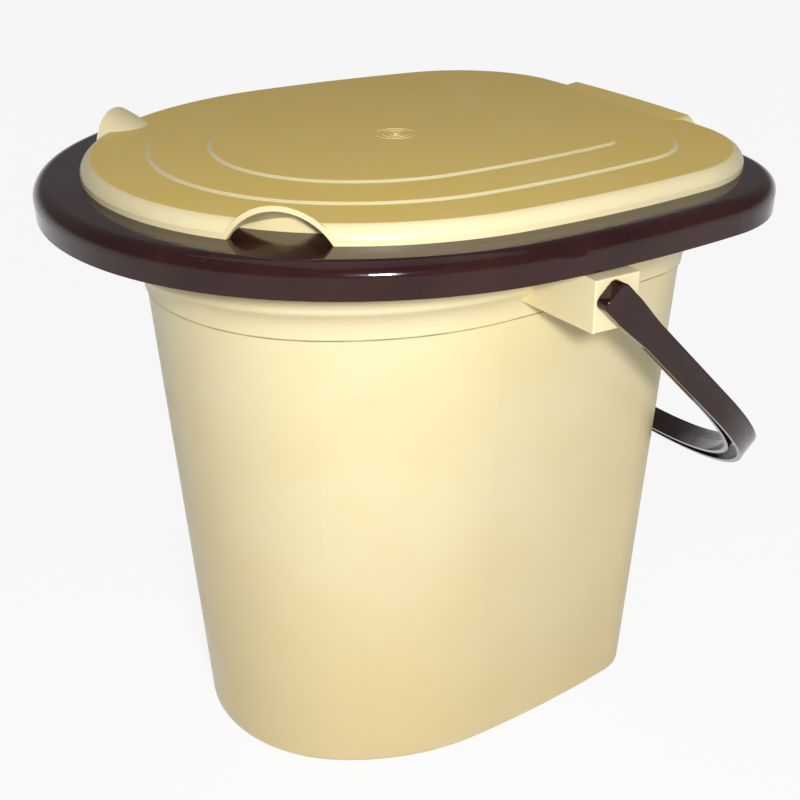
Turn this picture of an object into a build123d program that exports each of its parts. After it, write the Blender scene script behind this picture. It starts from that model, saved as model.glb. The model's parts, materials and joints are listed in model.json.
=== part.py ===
from build123d import *
import os
from math import acos, asin, cos, degrees, hypot, radians, sin, sqrt

# Bucket toilet with a snap-on seat ring, a loose lid and a swinging bail.
# Millimetres, +Z up. The origin is the middle of the bucket's underside, X runs along the bail's
# axis, the round front faces -Y and the flat back faces +Y.

# Outline of the bucket at its step line: a round front, eased shoulders, almost straight flanks,
# rounded back corners and a nearly flat back, each an arc that runs smoothly into the next.
# The end angles are those of the outward normal, counted from +X.
BUCKET_FRONT_RADIUS = 115.6
BUCKET_SHOULDER_RADIUS = 170.8
BUCKET_FLANK_RADIUS = 805.0
BUCKET_CORNER_RADIUS = 49.8
BUCKET_FRONT_Y = -42.0
BUCKET_FRONT_END_ANGLE = -34.6
BUCKET_SHOULDER_END_ANGLE = 1.7
BUCKET_FLANK_END_ANGLE = 10.3
BACK_END_ANGLE = 86.2

# Outline of the lid: the bucket's, with each radius grown and set further back
LID_FRONT_RADIUS_GAIN = 44.4
LID_SHOULDER_RADIUS_GAIN = 14.1
LID_FLANK_RADIUS_GAIN = -100.0
LID_CORNER_RADIUS_GAIN = 34.5
LID_BACK_SHIFT_LENGTH = 14.0
LID_FRONT_END_ANGLE = -37.5
LID_SHOULDER_END_ANGLE = -1.9
LID_FLANK_END_ANGLE = 8.0

# The seat ring's outline is the lid's, set a little forward and with tighter corners.
SEAT_FORWARD_LENGTH = 1.8
SEAT_CORNER_RADIUS_LOSS = 24.8

# Bucket wall, from the floor up
BUCKET_WALL = 2.6
BUCKET_FLOOR_THICKNESS = 3.2
BUCKET_TAPER_WIDTH = 19.0
BOTTOM_EDGE_RADIUS = 5.0
STEP_Z = 302.8
STEP_WIDTH = 1.3
STEP_HEIGHT = 0.5
FLARE_RADIUS = 20.0
FLARE_ANGLE = 52.0
COLLAR_WIDTH = 15.0
COLLAR_BEND_RADIUS = 6.0
CORE_RADIUS = 6.0
LEAST_BOTTOM_RADIUS = 1.0

# Ears: hollow blocks, open below, that hold the bail's pegs
EAR_PAST_SEAT_LENGTH = 1.7
EAR_WIDTH = 28.0
EAR_HEIGHT = 28.5
EAR_WALL = 3.0
EAR_FALL_HEIGHT = 8.0
EAR_EDGE_RADIUS = 0.8
PIVOT_Y = 15.6
PIVOT_Z = 332.0
PEG_RADIUS = 5.0
PEG_CLEARANCE = 0.06

# Seat ring: a flat land that the lid rests on, a rolled outer edge and a lip inside the hole
SEAT_WALL = 2.8
LAND_Z = 368.2
HOLE_BORDER_WIDTH = 38.0
HOLE_EDGE_RADIUS = 4.0
LIP_DEPTH = 22.0
ROLL_OUTER_WIDTH = 25.4
ROLL_RADIUS = 8.2
SEAT_SKIRT_HEIGHT = 10.2
SEAT_SKIRT_TUCK_WIDTH = 0.4
RIM_CLEARANCE = 0.6
GUIDE_WALL = 2.0
GUIDE_DEPTH = 8.0

# Lid: upright edge, rounded shoulder, sagging border and two raised tiers; below, a rib that
# shows through the finger hoods and a skirt that centres the lid in the seat's hole
LID_WALL = 2.6
LID_EDGE_HEIGHT = 3.2
LID_SHOULDER_WIDTH = 6.5
LID_SHOULDER_HEIGHT = 6.4
LID_SHOULDER_BEND_RADIUS = 9.0
BORDER_WIDTH = 37.5
BORDER_SAG_HEIGHT = 0.6
TIER_WIDTH = 35.2
TIER_STEP_HEIGHT = 1.0
TIER_STEP_WIDTH = 2.4
OVERLAP_WIDTH = 3.0
RIB_BORDER_WIDTH = 19.2
RIB_WALL = 2.0
SKIRT_CLEARANCE = 2.0
SKIRT_WALL = 2.2
SKIRT_DEPTH = 12.0

# Finger hoods: two arches on the front flanks and a wide low one at the back. Each is a straight
# tunnel that slopes down towards the lid's middle; a slope is the fall for each millimetre inwards.
HOOD_WALL = 2.8
HOOD_ANGLE = -42.2
HOOD_CHORD_LENGTH = 55.6
HOOD_OPENING_HEIGHT = 16.6
HOOD_SLOPE = 0.48
HOOD_DEPTH = 31.0
BACK_HOOD_WALL = 2.5
BACK_HOOD_BASE_LENGTH = 144.0
BACK_HOOD_TOP_LENGTH = 112.0
BACK_HOOD_OPENING_HEIGHT = 8.9
BACK_HOOD_CORNER_RADIUS = 6.0
BACK_HOOD_SLOPE = 0.13
BACK_HOOD_DEPTH = 16.0
HOOD_REACH_LENGTH = 6.0

# Moulding mark in the middle of the lid
MARK_Y = -1.5
MARK_PIP_RADIUS = 1.6
MARK_PIP_HEIGHT = 0.7
MARK_RING_RADIUS = 12.5
MARK_RING_SPACING = 3.8
MARK_RING_COUNT = 3
MARK_RING_WIDTH = 0.7
MARK_RING_HEIGHT = 0.25
MARK_ROOT_DEPTH = 1.0

# Bail: two strips joined by a web, with a thick head and a peg at each end
BAIL_CLEARANCE = 0.6
BAIL_ARM_DEPTH = 8.0
BAIL_BAR_DEPTH = 12.1
BAIL_WIDTH = 14.5
BAIL_STRIP_WIDTH = 2.8
BAIL_WEB_WIDTH = 3.0
BAIL_BAR_RADIUS = 227.0
BAIL_BEND_ANGLE = 39.5
BAIL_PAST_SEAT_LENGTH = 14.8
BAIL_REST_ANGLE = 45.6
HEAD_WIDTH = 17.6
HEAD_TOP_LENGTH = 12.5
HEAD_LENGTH = 30.0
HEAD_TAPER_LENGTH = 24.0
HEAD_CORNER_RADIUS = 4.5
HEAD_EDGE_RADIUS = 1.0
PEG_COLLAR_RADIUS = 6.6
PEG_COLLAR_LENGTH = 2.0
PEG_PLAY_LENGTH = 0.5

# Heights that follow from the land that the lid rests on
RIM_Z = LAND_Z - SEAT_WALL
ROLL_MID_Z = LAND_Z - ROLL_RADIUS
SEAT_SKIRT_Z = ROLL_MID_Z - SEAT_SKIRT_HEIGHT
SHOULDER_START_Z = LAND_Z + LID_EDGE_HEIGHT
BORDER_Z = SHOULDER_START_Z + LID_SHOULDER_HEIGHT
TIER_Z = BORDER_Z - BORDER_SAG_HEIGHT + TIER_STEP_HEIGHT
PLATE_Z = TIER_Z + TIER_STEP_HEIGHT


def normal(angle):
    return Vector(cos(radians(angle)), sin(radians(angle)), 0)


class Outline:
    """A closed D shape of eight arcs that run smoothly into each other."""

    def __init__(self, radii, front_y, ends):
        front, shoulder, flank, corner = radii
        front_end, shoulder_end, flank_end = ends
        centre_front = Vector(0, front_y, 0)
        centre_shoulder = centre_front - normal(front_end) * (shoulder - front)
        centre_flank = centre_shoulder - normal(shoulder_end) * (flank - shoulder)
        centre_corner = centre_flank + normal(flank_end) * (flank - corner)
        back = corner + centre_corner.X / cos(radians(BACK_END_ANGLE))
        centre_back = centre_corner - normal(BACK_END_ANGLE) * (back - corner)
        right = [
            (centre_shoulder, shoulder, front_end, shoulder_end),
            (centre_flank, flank, shoulder_end, flank_end),
            (centre_corner, corner, flank_end, BACK_END_ANGLE),
        ]
        left = [(Vector(-c.X, c.Y, 0), r, 180 - end, 180 - start) for c, r, start, end in reversed(right)]
        self.arcs = [(centre_front, front, -180 - front_end, front_end)]
        self.arcs += right
        self.arcs += [(centre_back, back, BACK_END_ANGLE, 180 - BACK_END_ANGLE)]
        self.arcs += left
        self.half_width = max(c.X + r for c, r, start, end in right if start <= 0 <= end)
        self.front_y = front_y - front
        self.back_y = centre_back.Y + back

    def face(self, offset, z):
        edges = []
        for centre, radius, start, end in self.arcs:
            points = [centre + normal(a) * (radius + offset) for a in (start, (start + end) / 2, end)]
            edges.append(ThreePointArc(*points))
        return Pos(0, 0, z) * make_face(Wire(edges))

    def block(self, offset, low, high):
        """A solid of this outline, grown by offset, between two heights."""
        return extrude(self.face(offset, low), amount=high - low, dir=(0, 0, 1))

    def band(self, outer, inner, low, high):
        """An upright wall between two offsets."""
        return self.block(outer, low, high) - self.block(inner, low, high)

    def ring(self, section):
        """The section, drawn as (offset, height), carried round the outline."""
        pieces = []
        for centre, radius, start, end in self.arcs:
            side = normal(start)
            frame = Plane(origin=centre, x_dir=side, z_dir=(side.Y, -side.X, 0))
            axis = Axis(centre, (0, 0, 1))
            pieces.append(revolve(frame * (Pos(radius, 0) * section), axis=axis, revolution_arc=end - start))
        return Part() + pieces


def section(start, *steps):
    """A closed section. A step is the next corner, or a pair: a point on an arc, and its end."""
    edges = []
    here = Vector(*start)
    for step in steps:
        if isinstance(step[0], (tuple, Vector)):
            middle, there = Vector(*step[0]), Vector(*step[1])
            edges.append(ThreePointArc(here, middle, there))
        else:
            there = Vector(*step)
            edges.append(Line(here, there))
        here = there
    edges.append(Line(here, Vector(*start)))
    return make_face(Wire(edges))


def on_circle(centre, radius, angle):
    return (centre[0] + radius * cos(radians(angle)), centre[1] + radius * sin(radians(angle)))


def arc_about(centre, radius, start, end):
    """The step for an arc about a centre, from one angle to another, in degrees."""
    return (on_circle(centre, radius, (start + end) / 2), on_circle(centre, radius, end))


BUCKET_RADII = (BUCKET_FRONT_RADIUS, BUCKET_SHOULDER_RADIUS, BUCKET_FLANK_RADIUS, BUCKET_CORNER_RADIUS)
LID_GAINS = (
    LID_FRONT_RADIUS_GAIN,
    LID_SHOULDER_RADIUS_GAIN,
    LID_FLANK_RADIUS_GAIN,
    LID_CORNER_RADIUS_GAIN,
)
LID_RADII = tuple(radius + gain for radius, gain in zip(BUCKET_RADII, LID_GAINS))
SEAT_RADII = (*LID_RADII[:3], LID_RADII[3] - SEAT_CORNER_RADIUS_LOSS)
LID_FRONT_Y = BUCKET_FRONT_Y + LID_BACK_SHIFT_LENGTH
LID_ENDS = (LID_FRONT_END_ANGLE, LID_SHOULDER_END_ANGLE, LID_FLANK_END_ANGLE)
BUCKET_ENDS = (BUCKET_FRONT_END_ANGLE, BUCKET_SHOULDER_END_ANGLE, BUCKET_FLANK_END_ANGLE)

BUCKET_OUTLINE = Outline(BUCKET_RADII, BUCKET_FRONT_Y, BUCKET_ENDS)
LID_OUTLINE = Outline(LID_RADII, LID_FRONT_Y, LID_ENDS)
SEAT_OUTLINE = Outline(SEAT_RADII, LID_FRONT_Y - SEAT_FORWARD_LENGTH, LID_ENDS)

# Offset at which a ring's section meets the flat plate or floor inside it
BUCKET_CORE = -(BUCKET_CORNER_RADIUS - CORE_RADIUS)
LID_CORE = -(BORDER_WIDTH + TIER_WIDTH + OVERLAP_WIDTH)

# The ears reach just past the seat's flanks, and the bail swings clear of the seat's front.
EAR_REACH = SEAT_OUTLINE.half_width + ROLL_OUTER_WIDTH + EAR_PAST_SEAT_LENGTH
SEAT_FRONT_REACH = PIVOT_Y - SEAT_OUTLINE.front_y + ROLL_OUTER_WIDTH
BAIL_REACH = SEAT_FRONT_REACH + BAIL_PAST_SEAT_LENGTH + BAIL_BAR_DEPTH


def bucket_profile(inset):
    """Steps up the wall from the bottom edge to the rim, moved inwards by inset."""
    low = -BUCKET_TAPER_WIDTH - inset
    edge = max(BOTTOM_EDGE_RADIUS - inset, LEAST_BOTTOM_RADIUS)
    floor = BUCKET_FLOOR_THICKNESS if inset else 0.0
    flare_centre = (STEP_WIDTH + FLARE_RADIUS, STEP_Z + STEP_HEIGHT)
    # The flare ends in a straight slope, which bends up into the collar.
    slope = normal(90 - FLARE_ANGLE)
    flare_end = on_circle(flare_centre, FLARE_RADIUS, 180 - FLARE_ANGLE)
    bend_x = COLLAR_WIDTH - COLLAR_BEND_RADIUS
    bend_start_x = bend_x + COLLAR_BEND_RADIUS * cos(radians(-FLARE_ANGLE))
    bend_start_z = flare_end[1] + (bend_start_x - flare_end[0]) * slope.Y / slope.X
    bend_centre = (bend_x, bend_start_z + COLLAR_BEND_RADIUS * sin(radians(FLARE_ANGLE)))
    bend_radius = COLLAR_BEND_RADIUS - inset
    return [
        (low - edge, floor),
        arc_about((low - edge, floor + edge), edge, -90, 0),
        (-inset, STEP_Z),
        (STEP_WIDTH - inset, STEP_Z + STEP_HEIGHT),
        arc_about(flare_centre, FLARE_RADIUS + inset, 180, 180 - FLARE_ANGLE),
        on_circle(bend_centre, bend_radius, -FLARE_ANGLE),
        arc_about(bend_centre, bend_radius, -FLARE_ANGLE, 0),
        (COLLAR_WIDTH - inset, RIM_Z),
    ]


def filled_bucket(inset, floor):
    """The bucket's outer or inner volume."""
    steps = bucket_profile(inset) + [(BUCKET_CORE, RIM_Z)]
    ring = BUCKET_OUTLINE.ring(section((BUCKET_CORE, floor), *steps))
    return ring + BUCKET_OUTLINE.block(BUCKET_CORE, floor, RIM_Z)


def ear_block(side, inset):
    """An ear's outer or inner block; its underside falls a little towards the bucket."""
    half = EAR_WIDTH / 2 - inset
    low = PIVOT_Z - EAR_HEIGHT / 2
    top = PIVOT_Z + EAR_HEIGHT / 2 - inset
    plane = Plane(origin=(0, PIVOT_Y - half, 0), x_dir=(1, 0, 0), z_dir=(0, -1, 0))
    reach = EAR_REACH - inset
    view = Polyline((0, low - EAR_FALL_HEIGHT), (reach, low), (reach, top), (0, top), close=True)
    block = extrude(plane * make_face(view), amount=half * 2, dir=(0, 1, 0))
    return block if side > 0 else mirror(block, about=Plane.YZ)


def bucket():
    outer = filled_bucket(0.0, 0.0)
    body = outer
    cavities = []
    for side in (1, -1):
        ear = ear_block(side, 0.0)
        face_edges = ear.faces().sort_by(Axis.X)[-1 if side > 0 else 0].edges()
        body += fillet(face_edges, EAR_EDGE_RADIUS)
        cavities.append(ear_block(side, EAR_WALL) - outer)
    body -= filled_bucket(BUCKET_WALL, BUCKET_FLOOR_THICKNESS)
    body -= cavities
    bore = Cylinder(PEG_RADIUS + PEG_CLEARANCE, EAR_WALL * 3, rotation=(0, 90, 0))
    for side in (1, -1):
        body -= Pos(side * EAR_REACH, PIVOT_Y, PIVOT_Z) * bore
    return body


def seat_ring():
    skirt_in = ROLL_OUTER_WIDTH - SEAT_SKIRT_TUCK_WIDTH
    # The land rolls over into the skirt on a quarter circle.
    roll_in = ROLL_OUTER_WIDTH - ROLL_RADIUS
    roll_centre = (roll_in, ROLL_MID_Z)
    land_out = roll_in - OVERLAP_WIDTH
    roll = section(
        (land_out, LAND_Z),
        (roll_in, LAND_Z),
        arc_about(roll_centre, ROLL_RADIUS, 90, 0),
        (skirt_in, SEAT_SKIRT_Z),
        (skirt_in - SEAT_WALL, SEAT_SKIRT_Z),
        (ROLL_OUTER_WIDTH - SEAT_WALL, ROLL_MID_Z),
        arc_about(roll_centre, ROLL_RADIUS - SEAT_WALL, 0, 90),
        (land_out, RIM_Z),
    )
    land_in = -HOLE_BORDER_WIDTH + HOLE_EDGE_RADIUS + OVERLAP_WIDTH
    edge_centre = (-HOLE_BORDER_WIDTH + HOLE_EDGE_RADIUS, LAND_Z - HOLE_EDGE_RADIUS)
    lip = section(
        (-HOLE_BORDER_WIDTH, LAND_Z - LIP_DEPTH),
        (-HOLE_BORDER_WIDTH, edge_centre[1]),
        arc_about(edge_centre, HOLE_EDGE_RADIUS, 180, 90),
        (land_in, LAND_Z),
        (land_in, RIM_Z),
        (-HOLE_BORDER_WIDTH + SEAT_WALL, RIM_Z - HOLE_EDGE_RADIUS),
        (-HOLE_BORDER_WIDTH + SEAT_WALL, LAND_Z - LIP_DEPTH),
    )
    land = SEAT_OUTLINE.block(land_out, RIM_Z, LAND_Z) - LID_OUTLINE.block(land_in, RIM_Z, LAND_Z)
    guide_in = COLLAR_WIDTH + RIM_CLEARANCE
    guide = BUCKET_OUTLINE.band(guide_in + GUIDE_WALL, guide_in, RIM_Z - GUIDE_DEPTH, RIM_Z)
    return SEAT_OUTLINE.ring(roll) + LID_OUTLINE.ring(lip) + land + guide


def shoulder_steps(inset):
    """The lid's edge and its rounded shoulder up to the border, moved inwards by inset."""
    run, rise = LID_SHOULDER_WIDTH, LID_SHOULDER_HEIGHT
    chord = hypot(run, rise)
    to_centre = sqrt(LID_SHOULDER_BEND_RADIUS ** 2 - chord ** 2 / 4) / chord
    centre_x = -run / 2 - rise * to_centre
    centre_z = SHOULDER_START_Z + rise / 2 - run * to_centre
    radius = LID_SHOULDER_BEND_RADIUS - inset
    start = degrees(acos((-inset - centre_x) / radius))
    end = degrees(asin((BORDER_Z - inset - centre_z) / radius))
    centre = (centre_x, centre_z)
    return [(-inset, LAND_Z), on_circle(centre, radius, start), arc_about(centre, radius, start, end)]


def filled_lid(inset):
    """The volume under the lid's top, or under its underside at the wall's thickness."""
    border = -BORDER_WIDTH
    tier = border - TIER_WIDTH
    steps = shoulder_steps(inset) + [
        (border, TIER_Z - TIER_STEP_HEIGHT - inset),
        (border - TIER_STEP_WIDTH, TIER_Z - inset),
        (tier, TIER_Z - inset),
        (tier - TIER_STEP_WIDTH, PLATE_Z - inset),
        (LID_CORE, PLATE_Z - inset),
    ]
    ring = LID_OUTLINE.ring(section((LID_CORE, LAND_Z), *steps))
    return ring + LID_OUTLINE.block(LID_CORE, LAND_Z, PLATE_Z - inset)


def front_arch(wall):
    """The outline of a front hood's tunnel, grown by a wall."""
    inner = (HOOD_CHORD_LENGTH ** 2 / 4 + HOOD_OPENING_HEIGHT ** 2) / (2 * HOOD_OPENING_HEIGHT)
    centre_z = HOOD_OPENING_HEIGHT - inner
    radius = inner + wall
    half = sqrt(radius ** 2 - centre_z ** 2)
    arch = ThreePointArc((-half, 0), (0, centre_z + radius), (half, 0))
    return make_face(Wire([arch, Line((half, 0), (-half, 0))]))


def back_arch(wall):
    """The outline of the wide back hood: sloping ends and a straight top with rounded corners."""
    base = BACK_HOOD_BASE_LENGTH / 2 + wall
    top = BACK_HOOD_TOP_LENGTH / 2 + wall
    height = BACK_HOOD_OPENING_HEIGHT + wall
    face = make_face(Polyline((-base, 0), (base, 0), (top, height), (-top, height), close=True))
    return fillet(face.vertices().group_by(Axis.Y)[-1], BACK_HOOD_CORNER_RADIUS + wall)


def tunnel(arch, frame, slope, depth, wall):
    """A hood's arch, drawn from outside the lid's edge down towards its middle."""
    mouth = frame * (Pos(0, slope * HOOD_REACH_LENGTH, HOOD_REACH_LENGTH) * arch(wall))
    inwards = Vector(-frame.z_dir.X, -frame.z_dir.Y, -slope)
    return extrude(mouth, amount=(HOOD_REACH_LENGTH + depth) * inwards.length, dir=inwards)


def hoods():
    """For each hood its arch, its frame on the lid's edge, its slope, its depth and its wall."""
    made = []
    for angle in (HOOD_ANGLE, 180 - HOOD_ANGLE):
        out = normal(angle)
        foot = out * LID_RADII[0] + Vector(0, LID_FRONT_Y, LAND_Z)
        frame = Plane(origin=foot, x_dir=(-out.Y, out.X, 0), z_dir=out)
        made.append((front_arch, frame, HOOD_SLOPE, HOOD_DEPTH, HOOD_WALL))
    frame = Plane(origin=(0, LID_OUTLINE.back_y, LAND_Z), x_dir=(-1, 0, 0), z_dir=(0, 1, 0))
    made.append((back_arch, frame, BACK_HOOD_SLOPE, BACK_HOOD_DEPTH, BACK_HOOD_WALL))
    return made


def upright(radius, z, height):
    return Pos(0, MARK_Y, z) * Cylinder(radius, height, align=(Align.CENTER, Align.CENTER, Align.MIN))


def lid():
    body = filled_lid(0.0)
    trim = LID_OUTLINE.block(0.0, LAND_Z, PLATE_Z + HOOD_OPENING_HEIGHT)
    for *shape, wall in hoods():
        body += tunnel(*shape, wall) & trim
    body -= filled_lid(LID_WALL)
    body -= [tunnel(*shape, 0.0) for *shape, wall in hoods()]
    # The rib and the skirt run into the plate above them.
    rib_top = BORDER_Z - BORDER_SAG_HEIGHT - LID_WALL / 2
    body += LID_OUTLINE.band(-RIB_BORDER_WIDTH, -RIB_BORDER_WIDTH - RIB_WALL, LAND_Z, rib_top)
    skirt_out = -HOLE_BORDER_WIDTH - SKIRT_CLEARANCE
    skirt_top = TIER_Z - LID_WALL / 2
    body += LID_OUTLINE.band(skirt_out, skirt_out - SKIRT_WALL, LAND_Z - SKIRT_DEPTH, skirt_top)
    mark_z = PLATE_Z - MARK_ROOT_DEPTH
    body += upright(MARK_PIP_RADIUS, mark_z, MARK_ROOT_DEPTH + MARK_PIP_HEIGHT)
    for count in range(MARK_RING_COUNT):
        radius = MARK_RING_RADIUS - count * MARK_RING_SPACING
        height = MARK_ROOT_DEPTH + MARK_RING_HEIGHT
        body += upright(radius, mark_z, height) - upright(radius - MARK_RING_WIDTH, mark_z, height)
    return body


def bail_curve(arm_in, bar_in):
    """Half of a curve of the bail's side view, at a depth at the arms and another along the bar.

    Gives the arm's x, the bend's foot, a point on the bend, its end and the bar's middle."""
    x = EAR_REACH + BAIL_CLEARANCE + BAIL_ARM_DEPTH - arm_in
    radius = BAIL_BAR_RADIUS - bar_in
    bar_centre = BAIL_REACH - BAIL_BAR_RADIUS
    turn = radians(90 - BAIL_BEND_ANGLE)
    join = (radius * sin(turn), bar_centre + radius * cos(turn))
    bend = (x - join[0]) / (1 - sin(turn))
    centre = (join[0] - bend * sin(turn), join[1] - bend * cos(turn))
    middle = on_circle(centre, bend, (90 - degrees(turn)) / 2)
    return x, (x, centre[1]), middle, join, (0, bar_centre + radius)


def bail_face(outer_in, inner_in):
    """The part of the bail's side view between two pairs of depths, in from its outer curve."""
    x_out, foot_out, middle_out, join_out, top_out = bail_curve(*outer_in)
    x_in, foot_in, middle_in, join_in, top_in = bail_curve(*inner_in)

    def left(point):
        return (-point[0], point[1])

    edges = [
        Line((x_out, 0), foot_out),
        ThreePointArc(foot_out, middle_out, join_out),
        ThreePointArc(join_out, top_out, left(join_out)),
        ThreePointArc(left(join_out), left(middle_out), left(foot_out)),
        Line(left(foot_out), (-x_out, 0)),
        Line((-x_out, 0), (-x_in, 0)),
        Line((-x_in, 0), left(foot_in)),
        ThreePointArc(left(foot_in), left(middle_in), left(join_in)),
        ThreePointArc(left(join_in), top_in, join_in),
        ThreePointArc(join_in, middle_in, foot_in),
        Line(foot_in, (x_in, 0)),
        Line((x_in, 0), (x_out, 0)),
    ]
    return make_face(Wire(edges))


def bail_head(side):
    """A head with its peg: a rounded plate on the ear's face, tapering into the arm."""
    inner_x = EAR_REACH + BAIL_CLEARANCE
    half = HEAD_WIDTH / 2
    arm_half = BAIL_WIDTH / 2
    taper_start = HEAD_LENGTH - HEAD_TAPER_LENGTH
    view = Polyline(
        (-half, -HEAD_TOP_LENGTH),
        (half, -HEAD_TOP_LENGTH),
        (half, taper_start),
        (arm_half, HEAD_LENGTH),
        (-arm_half, HEAD_LENGTH),
        (-half, taper_start),
        close=True,
    )
    face = make_face(view)
    face = fillet(face.vertices().group_by(Axis.Y)[0], HEAD_CORNER_RADIUS)
    # x of the side view is the bail's width and y runs down the arm.
    side_view = Plane(origin=(inner_x, 0, 0), x_dir=(0, 0, -1), z_dir=(1, 0, 0))
    plate = extrude(side_view * face, amount=BAIL_ARM_DEPTH, dir=(1, 0, 0))
    plate = fillet(plate.faces().sort_by(Axis.X)[-1].edges(), HEAD_EDGE_RADIUS)
    neck = EAR_WALL + BAIL_CLEARANCE + PEG_PLAY_LENGTH
    peg = Cylinder(PEG_RADIUS, neck + PEG_COLLAR_LENGTH, rotation=(0, 90, 0))
    peg = Pos(inner_x - (neck + PEG_COLLAR_LENGTH) / 2, 0, 0) * peg
    collar = Cone(PEG_RADIUS, PEG_COLLAR_RADIUS, PEG_COLLAR_LENGTH, rotation=(0, 90, 0))
    collar = Pos(inner_x - neck - PEG_COLLAR_LENGTH / 2, 0, 0) * collar
    head = plate + peg + collar
    return head if side > 0 else mirror(head, about=Plane.YZ)


def handle():
    strip = BAIL_STRIP_WIDTH
    root = strip / 2
    inner = (BAIL_ARM_DEPTH, BAIL_BAR_DEPTH)
    strip_out = bail_face((0, 0), (strip, strip))
    strip_in = bail_face((inner[0] - strip, inner[1] - strip), inner)
    web = bail_face((root, root), (inner[0] - root, inner[1] - root))
    body = extrude(strip_out, amount=BAIL_WIDTH / 2, both=True)
    body += extrude(strip_in, amount=BAIL_WIDTH / 2, both=True)
    body += extrude(web, amount=BAIL_WEB_WIDTH / 2, both=True)
    body += bail_head(1)
    body += bail_head(-1)
    angle = radians(BAIL_REST_ANGLE)
    rest = Plane(origin=(0, PIVOT_Y, PIVOT_Z), x_dir=(1, 0, 0), z_dir=(0, sin(angle), cos(angle)))
    return rest * body


NODES = {"bucket": bucket, "seat_ring": seat_ring, "lid": lid, "handle": handle}

os.makedirs("parts", exist_ok=True)
for name, make in NODES.items():
    shape = make()
    box = shape.bounding_box()
    low = [round(v, 1) for v in (box.min.X, box.min.Y, box.min.Z)]
    high = [round(v, 1) for v in (box.max.X, box.max.Y, box.max.Z)]
    print(name, "solids", len(shape.solids()), "volume", round(shape.volume / 1000, 1), "cm3", low, high)
    export_step(shape, f"parts/{name}.step")
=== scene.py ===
import json
import math

import bpy
from mathutils import Matrix, Vector

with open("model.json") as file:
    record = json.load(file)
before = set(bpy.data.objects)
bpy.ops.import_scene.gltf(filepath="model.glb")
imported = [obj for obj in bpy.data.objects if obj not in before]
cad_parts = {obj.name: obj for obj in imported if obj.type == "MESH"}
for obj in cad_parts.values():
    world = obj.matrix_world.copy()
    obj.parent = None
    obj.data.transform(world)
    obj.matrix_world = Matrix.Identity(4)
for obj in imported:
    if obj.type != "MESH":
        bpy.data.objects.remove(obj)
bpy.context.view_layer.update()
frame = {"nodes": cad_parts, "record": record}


class Value:
    """A socket that takes part in sums: its operators add Math nodes to the socket's tree."""

    def __init__(self, nodes, socket):
        self.nodes = nodes
        self.socket = socket

    def __add__(self, other):
        return self.nodes.maths("ADD", self, other)

    def __sub__(self, other):
        return self.nodes.maths("SUBTRACT", self, other)

    def __rsub__(self, other):
        return self.nodes.maths("SUBTRACT", other, self)

    def __mul__(self, other):
        return self.nodes.maths("MULTIPLY", self, other)

    __radd__ = __add__
    __rmul__ = __mul__


class Nodes:
    """A node tree, to which every node is added through node()."""

    def __init__(self, tree):
        self.tree = tree

    def node(self, kind, settings=None, inputs=None, output=0):
        made = self.tree.nodes.new(kind)
        for name, setting in (settings or {}).items():
            if name == "stops":
                self.set_stops(made.color_ramp, setting)
            else:
                setattr(made, name, setting)
        for name, value in (inputs or {}).items():
            socket = made.inputs[name]
            if isinstance(value, Value):
                self.tree.links.new(value.socket, socket)
            else:
                socket.default_value = value
        return Value(self, made.outputs[output])

    @staticmethod
    def set_stops(ramp, stops):
        while len(ramp.elements) < len(stops):
            ramp.elements.new(0.5)
        for element, (place, level) in zip(ramp.elements, stops):
            element.position = place
            element.color = (level, level, level, 1.0)

    def maths(self, operation, *values):
        return self.node("ShaderNodeMath", {"operation": operation}, dict(enumerate(values)))

    def axis(self, vector, name):
        """One of a vector's three parts: X, Y or Z."""
        return self.node("ShaderNodeSeparateXYZ", {}, {"Vector": vector}, name)

    def levels(self, value, low, high, to_low=0.0, to_high=1.0):
        """A value taken from one range to another, and held at that range's ends."""
        inputs = {
            "Value": value,
            "From Min": low,
            "From Max": high,
            "To Min": to_low,
            "To Max": to_high,
        }
        return self.node("ShaderNodeMapRange", {"clamp": True}, inputs, "Result")


class Paint(Nodes):
    def __init__(self, name):
        self.material = bpy.data.materials.new(name)
        self.material.use_nodes = True
        super().__init__(self.material.node_tree)
        self.tree.nodes.clear()
        self.place = self.node("ShaderNodeTexCoord", output="Object")

    def mapped(self, vector, **inputs):
        return self.node("ShaderNodeMapping", {}, {"Vector": vector, **inputs}, "Vector")

    def noise(self, size, detail=2.0, where=None):
        """Soft noise whose grain is about the given size in metres."""
        inputs = {"Vector": where or self.place, "Scale": 1.0 / size, "Detail": detail}
        return self.node("ShaderNodeTexNoise", {}, inputs, "Fac")

    def ramp(self, value, *stops):
        return self.node("ShaderNodeValToRGB", {"stops": stops}, {"Fac": value}, "Color")

    def blend(self, amount, first, second):
        inputs = {"Factor": amount, 6: first, 7: second}
        return self.node("ShaderNodeMix", {"data_type": "RGBA"}, inputs, 2)

    def bump(self, height, depth, normal=None):
        inputs = {"Height": height, "Distance": depth}
        if normal:
            inputs["Normal"] = normal
        return self.node("ShaderNodeBump", {}, inputs, "Normal")

    def hairlines(self, turn, spacing, amount):
        """Thin scratches, all about one way: high only where stretched noise nears its middle."""
        turned = self.mapped(self.place, Rotation=(0.0, 0.0, math.radians(turn)))
        stretched = self.mapped(turned, Scale=SCRATCH_STRETCH)
        streak = self.noise(spacing, 3.0, stretched)
        ends = (0.5 - SCRATCH_HALF_WIDTH, 0.5 + SCRATCH_HALF_WIDTH)
        line = self.ramp(streak, (ends[0], 0.0), (0.5, 1.0), (ends[1], 0.0))
        patches = self.levels(self.noise(SCRATCHED_PATCH), 0.60 - amount, 0.72 - amount)
        return line * patches

    def finish(self, **sockets):
        inputs = {name.replace("_", " "): value for name, value in sockets.items()}
        self.surface(self.node("ShaderNodeBsdfPrincipled", {}, inputs, "BSDF"))
        return self.material

    def surface(self, shader):
        made = self.tree.nodes.new("ShaderNodeOutputMaterial")
        self.tree.links.new(shader.socket, made.inputs["Surface"])


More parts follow.
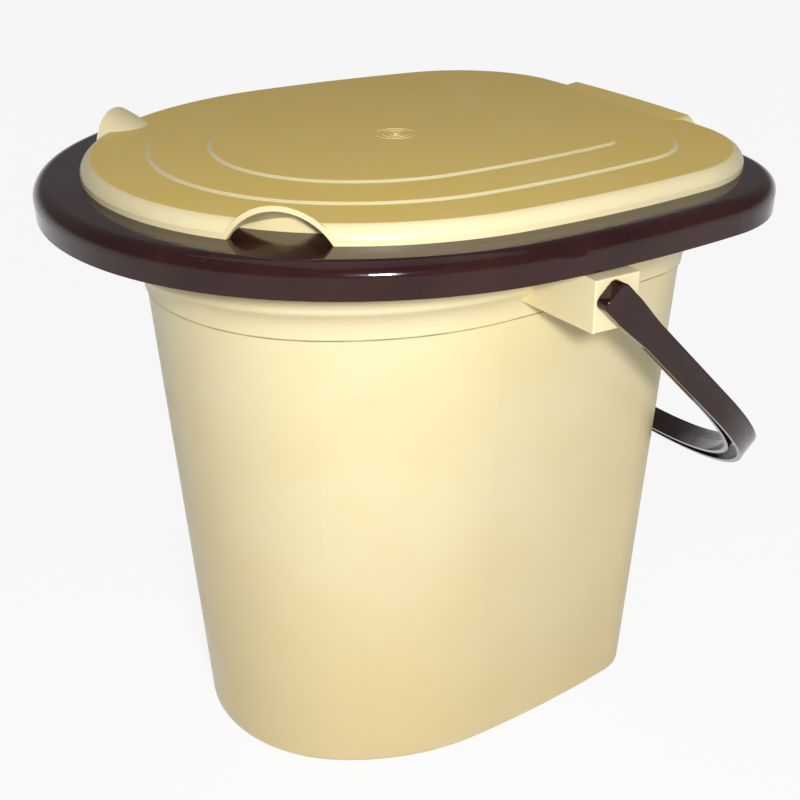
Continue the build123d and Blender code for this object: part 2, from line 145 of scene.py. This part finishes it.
def colour(red, green, blue):
    return (red, green, blue, 1.0)


PALE_CREAM = colour(0.90, 0.79, 0.49)
DEEP_CREAM = colour(0.87, 0.74, 0.42)
# Painted shade: deeper cream low on the bucket's wall
LOW_SHADE_CREAM = colour(0.76, 0.55, 0.23)
# Painted shade: tan for the lid's flat top, darker where light grazes it
TOP_SHADE_TAN = colour(0.90, 0.635, 0.135)
# Painted shade: dark line in the crease of the bucket's step line
CREASE_SHADE = colour(0.20, 0.13, 0.05)
CREAM_SCRATCH = colour(0.93, 0.83, 0.58)
CREAM_SPECK = colour(0.34, 0.22, 0.09)
DARK_BROWN = colour(0.024, 0.0060, 0.0055)
MID_BROWN = colour(0.036, 0.0105, 0.0090)
BROWN_SCRATCH = colour(0.16, 0.085, 0.07)
FLOOR_GREY = colour(0.88, 0.88, 0.88)
WHITE = colour(1.0, 1.0, 1.0)

# Scratches: how noise is drawn out along them, half a line's width in the noise's own
# values, and the size in metres of the patches that they keep to
SCRATCH_STRETCH = (1.0, 0.04, 1.0)
SCRATCH_HALF_WIDTH = 0.006
SCRATCHED_PATCH = 0.045

# Heights in metres: the bucket's step line, the painted shade line either side of it, from where
# it begins to fade in to where it is full, and the top of the painted shade low on the wall
STEP_Z = 0.3030
CREASE_SHADE_REACH = 0.0010
CREASE_SHADE_FULL = 0.0004
LOW_SHADE_TOP = 0.24

# Painted shade: how far up a face looks where the lid's flat top starts to be painted tan, and
# where it is fully tan
TOP_SHADE_START = 0.93
TOP_SHADE_FULL = 0.995

# Bump depths in metres
CREAM_PEEL_DEPTH = 0.00006
CREAM_SCRATCH_DEPTH = 0.00003
BROWN_PEEL_DEPTH = 0.00005
RIB_DEPTH = 0.00035

# The bail lies in a plane tilted by its rest angle, so a place across its width is one sum.
BAIL = next(
    joint for joint in frame["record"]["behaviour"]["joints"] if joint["name"] == "bail_swing"
)
BAIL_TILT = math.radians(45.6)
RIB_SPACING = 0.0012
RIB_BAND = (0.0008, 0.0056)
RIB_FADE = 0.0004


def shaded_top(paint, body):
    """Painted shade: the lid's flat top is painted tan for the shade of grazing light there,
    while its turned edges stay pale.
    """
    facing = paint.node("ShaderNodeTexCoord", output="Normal")
    flat = paint.levels(paint.axis(facing, "Z"), TOP_SHADE_START, TOP_SHADE_FULL)
    patchy = paint.levels(paint.noise(0.06, 4.0), 0.3, 0.7, 0.85, 1.0)
    # Painted shade: tan where the lid faces straight up
    return paint.blend(flat * patchy, body, TOP_SHADE_TAN)


def shaded_wall(paint, body):
    """Painted shade: a deeper colour low down on the wall, and a dark line in the crease of the
    bucket's step line.
    """
    z = paint.axis(paint.place, "Z")
    # Painted shade: darker towards the bottom of the wall
    body = paint.blend(paint.levels(z, LOW_SHADE_TOP, 0.0, 0.0, 0.35), body, LOW_SHADE_CREAM)
    from_step = paint.maths("ABSOLUTE", z - STEP_Z)
    broken = paint.levels(paint.noise(0.02), 0.25, 0.6, 0.45, 0.85)
    # Painted shade: dark line along the step line's crease
    return paint.blend(paint.levels(from_step, CREASE_SHADE_REACH, CREASE_SHADE_FULL) * broken, body, CREASE_SHADE)


def cream_plastic(name, painted_shade):
    """Moulded cream: clouded colour, painted shade from the given function, specks and hairline
    scratches.
    """
    paint = Paint(name)
    cloud = paint.levels(paint.noise(0.11, 3.0), 0.35, 0.65)
    # Painted shade is laid on the clouded colour here
    body = painted_shade(paint, paint.blend(cloud, PALE_CREAM, DEEP_CREAM))
    scratches = paint.hairlines(35.0, 0.006, 0.05) + paint.hairlines(-62.0, 0.005, 0.0)
    body = paint.blend(scratches * 0.35, body, CREAM_SCRATCH)
    specks = paint.levels(paint.noise(0.0016, 1.0), 0.76, 0.80)
    speckled = paint.levels(paint.noise(0.03), 0.5, 0.6)
    body = paint.blend(specks * speckled * 0.30, body, CREAM_SPECK)
    rough = paint.levels(paint.noise(0.025, 4.0), 0.3, 0.7, 0.30, 0.42) + scratches * 0.2
    orange_peel = paint.bump(paint.noise(0.0035), CREAM_PEEL_DEPTH)
    normal = paint.bump(scratches, CREAM_SCRATCH_DEPTH, orange_peel)
    return paint.finish(Base_Color=body, Roughness=rough, Normal=normal, Specular_IOR_Level=0.35)


def brown_plastic(name, ribs=None):
    """Glossy brown: faint flow marks, smears in the gloss and hairline scratches."""
    paint = Paint(name)
    cloud = paint.levels(paint.noise(0.04, 4.0), 0.35, 0.65)
    body = paint.blend(cloud, DARK_BROWN, MID_BROWN)
    scratches = paint.hairlines(20.0, 0.004, 0.06) + paint.hairlines(-48.0, 0.005, 0.03)
    body = paint.blend(scratches * 0.25, body, BROWN_SCRATCH)
    rough = paint.levels(paint.noise(0.018, 4.0), 0.3, 0.7, 0.07, 0.15) + scratches * 0.25
    normal = paint.bump(paint.noise(0.004), BROWN_PEEL_DEPTH)
    if ribs:
        normal = paint.bump(ribs(paint), RIB_DEPTH, normal)
    return paint.finish(Base_Color=body, Roughness=rough, Normal=normal, Specular_IOR_Level=0.36)


def bail_ribs(paint):
    """Fine ribs along the bail's outer side, as its mould leaves them."""
    _, pivot_y, pivot_z = BAIL["pos_m"]
    past_pivot_y = paint.axis(paint.place, "Y") - pivot_y
    past_pivot_z = paint.axis(paint.place, "Z") - pivot_z
    across = past_pivot_y * math.sin(BAIL_TILT) + past_pivot_z * math.cos(BAIL_TILT)
    wave = paint.maths("SINE", across * (2.0 * math.pi / RIB_SPACING))
    inner, outer = RIB_BAND
    inside = paint.levels(across, inner, inner + RIB_FADE)
    outside = paint.levels(across, outer + RIB_FADE, outer)
    return paint.levels(wave, 0.2, 0.9) * inside * outside


FINISHES = {
    "bucket": cream_plastic("cream pail plastic", shaded_wall),
    "lid": cream_plastic("cream lid plastic", shaded_top),
    "seat_ring": brown_plastic("brown seat plastic"),
    "handle": brown_plastic("brown bail plastic", bail_ribs),
}
for name, material in FINISHES.items():
    mesh = frame["nodes"][name].data
    mesh.materials.clear()
    mesh.materials.append(material)

# Camera, in the part's frame; lens and sensor in millimetres
CAMERA_PLACE = Vector((0.66676, -0.38308, 0.57279))
CAMERA_AZIMUTH = math.radians(60.13)
CAMERA_ELEVATION = math.radians(25.73)
CAMERA_ROLL = math.radians(-0.53)
CAMERA_LENS = 58.5
CAMERA_SENSOR = 36.0

# Light: a small lamp beside the camera and a wide one overhead, in metres and watts
KEY_LAMP = {"place": (0.688, -0.320, 0.600), "target": (0.05, -0.02, 0.25), "watts": 4.7}
KEY_LAMP_SIZE = 0.06
TOP_LAMP = {"place": (0.0, 0.0, 1.6), "target": (0.0, 0.0, 0.0), "watts": 2.4}
TOP_LAMP_SIZE = 1.2

# A pale band round the horizon under a dimmer ceiling: how high each ends, and how bright
HORIZON_TOP = 0.06
CEILING_START = 0.20
HORIZON_STRENGTH = 0.60
CEILING_STRENGTH = 0.20

FLOOR_SIZE = 40.0
FLOOR_GLOW = 0.9
SEEING_RAYS = ("Is Camera Ray", "Is Glossy Ray", "Is Transmission Ray")


def photo_camera():
    data = bpy.data.cameras.new("camera")
    data.lens = CAMERA_LENS
    data.sensor_width = CAMERA_SENSOR
    camera = bpy.data.objects.new("camera", data)
    bpy.context.scene.collection.objects.link(camera)
    # Right, up and back are the camera's own axes before its roll
    right = Vector((math.cos(CAMERA_AZIMUTH), math.sin(CAMERA_AZIMUTH), 0))
    level = Vector((math.sin(CAMERA_AZIMUTH), -math.cos(CAMERA_AZIMUTH), 0))
    back = level * math.cos(CAMERA_ELEVATION) + Vector((0, 0, math.sin(CAMERA_ELEVATION)))
    up = back.cross(right)
    rolled_right = right * math.cos(CAMERA_ROLL) + up * math.sin(CAMERA_ROLL)
    rolled_up = up * math.cos(CAMERA_ROLL) - right * math.sin(CAMERA_ROLL)
    turn = Matrix((rolled_right, rolled_up, back)).transposed().to_4x4()
    camera.matrix_world = Matrix.Translation(CAMERA_PLACE) @ turn
    bpy.context.scene.camera = camera


def lamp(name, size, place, target, watts):
    """A square area lamp that shines from its place towards its target."""
    data = bpy.data.lights.new(name, "AREA")
    data.energy = watts
    data.size = size
    made = bpy.data.objects.new(name, data)
    bpy.context.scene.collection.objects.link(made)
    back = Vector(place) - Vector(target)
    turn = back.to_track_quat("Z", "Y").to_matrix().to_4x4()
    made.matrix_world = Matrix.Translation(place) @ turn


def seen_white(paint, lit, share):
    """Mixes a shader with white light that only the camera, mirrors and glass see."""
    camera, glossy, through = (
        paint.node("ShaderNodeLightPath", output=ray) for ray in SEEING_RAYS
    )
    seen = paint.maths("MAXIMUM", paint.maths("MAXIMUM", camera, glossy), through)
    glow = paint.node("ShaderNodeEmission", {}, {"Strength": 1.0})
    return paint.node("ShaderNodeMixShader", {}, {"Fac": seen * share, 1: lit, 2: glow})


def pale_floor():
    bpy.ops.mesh.primitive_plane_add(size=FLOOR_SIZE, location=(0, 0, 0))
    floor = bpy.context.object
    floor.name = "floor"
    paint = Paint("pale floor")
    matt = paint.node("ShaderNodeBsdfDiffuse", {}, {"Color": FLOOR_GREY}, "BSDF")
    paint.surface(seen_white(paint, matt, FLOOR_GLOW))
    floor.data.materials.append(paint.material)


def studio_world():
    world = bpy.data.worlds.new("studio")
    world.use_nodes = True
    sky = Nodes(world.node_tree)
    height = sky.axis(sky.node("ShaderNodeTexCoord", output="Generated"), "Z")
    strength = sky.levels(
        height, HORIZON_TOP, CEILING_START, HORIZON_STRENGTH, CEILING_STRENGTH
    )
    background = world.node_tree.nodes["Background"]
    background.inputs["Color"].default_value = WHITE
    world.node_tree.links.new(strength.socket, background.inputs["Strength"])
    bpy.context.scene.world = world


photo_camera()
pale_floor()
studio_world()
lamp("key", KEY_LAMP_SIZE, **KEY_LAMP)
lamp("top", TOP_LAMP_SIZE, **TOP_LAMP)
bpy.context.scene.view_settings.view_transform = "Standard"
